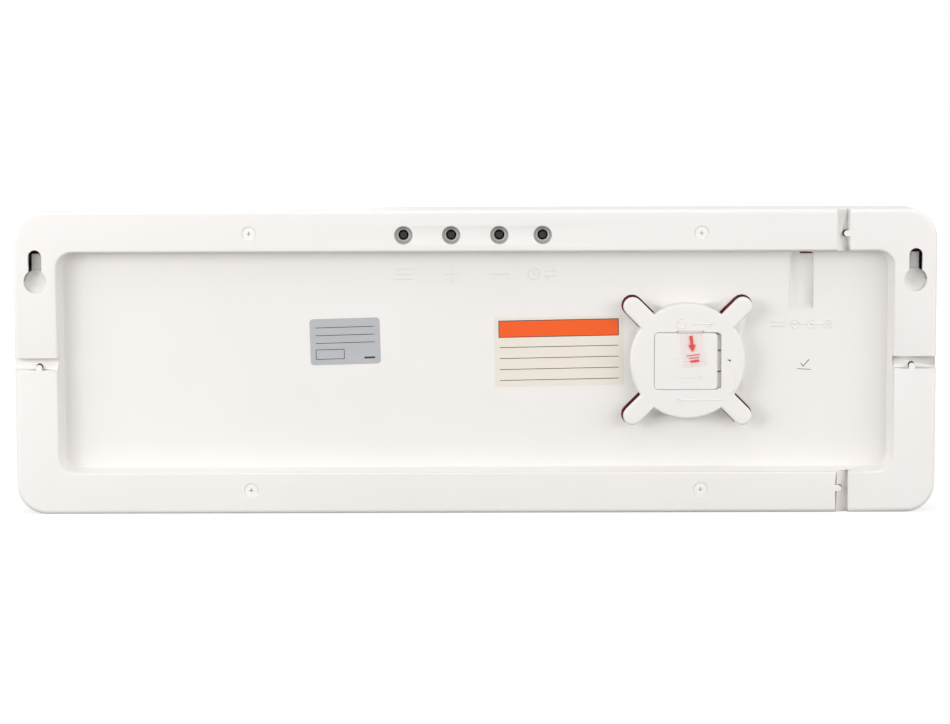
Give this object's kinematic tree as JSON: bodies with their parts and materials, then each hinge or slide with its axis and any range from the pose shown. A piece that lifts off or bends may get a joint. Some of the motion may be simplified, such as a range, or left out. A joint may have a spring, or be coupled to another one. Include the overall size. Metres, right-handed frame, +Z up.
{
  "type": "digital clock",
  "caption": "Wide digital clock for wall or table, seen from its recessed back with cable winder, coin cell door, setting keys, cable grooves and keyholes.",
  "frame": {"origin": "under the middle of the case, on the edge that it stands on", "axes": "+Z up, +Y out of the back of the clock, -Y out of the display, +X to the right of a person who looks at the display"},
  "size_m": [0.423, 0.03, 0.14],
  "materials": {
    "white_shell": "moulded, fine satin",
    "tinted_lens": "dark red tinted acrylic",
    "film": "translucent film",
    "black_plastic": "moulded",
    "circuit_board": "red solder resist",
    "steel": "bright plated",
    "aluminium_can": "drawn can",
    "contact_metal": "nickel plated",
    "key_plastic": "moulded",
    "pull_film": "clear film",
    "wire_red": "insulated wire",
    "wire_grey": "flat cable"
  },
  "bodies": {
    "case": {"front_bezel": "white_shell", "front_lens": "tinted_lens", "diffuser_film": "film", "segment_reflector": "black_plastic", "display_board": "circuit_board", "clock_chip": "black_plastic", "driver_chip": "black_plastic", "crystal": "aluminium_can", "capacitor": "aluminium_can", "buzzer": "black_plastic", "board_screw_1": "steel", "board_screw_2": "steel", "board_screw_3": "steel", "board_screw_4": "steel", "rear_cover": "white_shell", "power_socket": "black_plastic", "socket_pin": "contact_metal", "socket_board": "circuit_board", "socket_cable": "wire_red", "key_board": "circuit_board", "key_cable": "wire_grey", "rim_board_screw_1": "steel", "rim_board_screw_2": "steel", "rim_board_screw_3": "steel", "rim_board_screw_4": "steel", "case_screw_1": "steel", "case_screw_2": "steel", "case_screw_3": "steel", "case_screw_4": "steel", "key_menu_switch": "black_plastic", "key_plus_switch": "black_plastic", "key_minus_switch": "black_plastic", "key_mode_switch": "black_plastic", "coin_cell": "contact_metal", "cell_positive_clip": "contact_metal", "cell_negative_spring": "contact_metal", "cell_pull_tab": "pull_film", "cell_cable": "wire_red"},
    "key_menu": {"key_menu": "key_plastic"},
    "key_plus": {"key_plus": "key_plastic"},
    "key_minus": {"key_minus": "key_plastic"},
    "key_mode": {"key_mode": "key_plastic"},
    "battery_cover": {"battery_cover": "white_shell"}
  },
  "joints": [
    {"name": "key_menu_press", "type": "slide", "parent": "case", "child": "key_menu", "axis": [0, -1, 0], "range_m": [0, 0.00035], "stiffness_N_per_m": 400},
    {"name": "key_plus_press", "type": "slide", "parent": "case", "child": "key_plus", "axis": [0, -1, 0], "range_m": [0, 0.00035], "stiffness_N_per_m": 400},
    {"name": "key_minus_press", "type": "slide", "parent": "case", "child": "key_minus", "axis": [0, -1, 0], "range_m": [0, 0.00035], "stiffness_N_per_m": 400},
    {"name": "key_mode_press", "type": "slide", "parent": "case", "child": "key_mode", "axis": [0, -1, 0], "range_m": [0, 0.00035], "stiffness_N_per_m": 400},
    {"name": "battery_cover_slide", "type": "slide", "parent": "case", "child": "battery_cover", "axis": [-1, 0, 0], "range_m": [0, 0.0016]}
  ]
}
